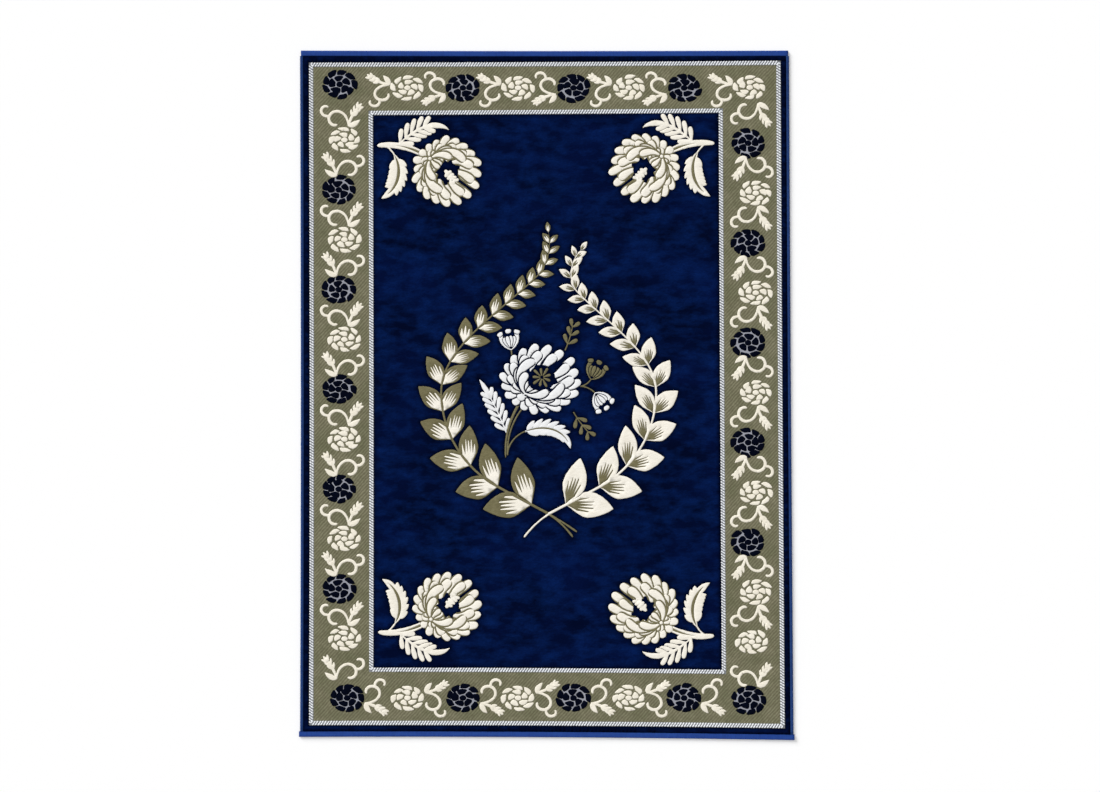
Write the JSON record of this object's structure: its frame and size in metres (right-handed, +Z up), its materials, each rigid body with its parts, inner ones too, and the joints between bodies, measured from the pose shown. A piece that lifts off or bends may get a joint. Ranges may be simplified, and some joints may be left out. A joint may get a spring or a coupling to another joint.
{
  "type": "floral rug",
  "caption": "Rectangular woven area rug with a leafy wreath on a dark cut-pile field, a sunk flat-woven border, twisted fillets, bound ends and serged sides.",
  "frame": {"origin": "on the floor, under the middle of the rug's box", "axes": "+Y along the rug towards the tip of the wreath, +X to its right, +Z up out of the pile"},
  "size_m": [1.5406, 2.1446, 0.009],
  "materials": {
    "pile": "matte dark navy cut pile",
    "foundation": "plain beige woven back",
    "olive_weave": "flat olive twill weave",
    "olive_yarn": "matte olive yarn",
    "cream_yarn": "lustrous cream yarn",
    "silver_yarn": "lustrous silver-white yarn",
    "ink_yarn": "matte ink-blue yarn",
    "fillet_yarn": "twisted silver yarn floats",
    "end_binding": "satin royal-blue woven tape",
    "side_serging": "dark blue overcast yarn"
  },
  "bodies": {
    "root": {"woven_cloth": "pile", "end_binding_bottom": "end_binding", "end_binding_top": "end_binding", "side_serging_left": "side_serging", "side_serging_right": "side_serging"}
  },
  "joints": []
}
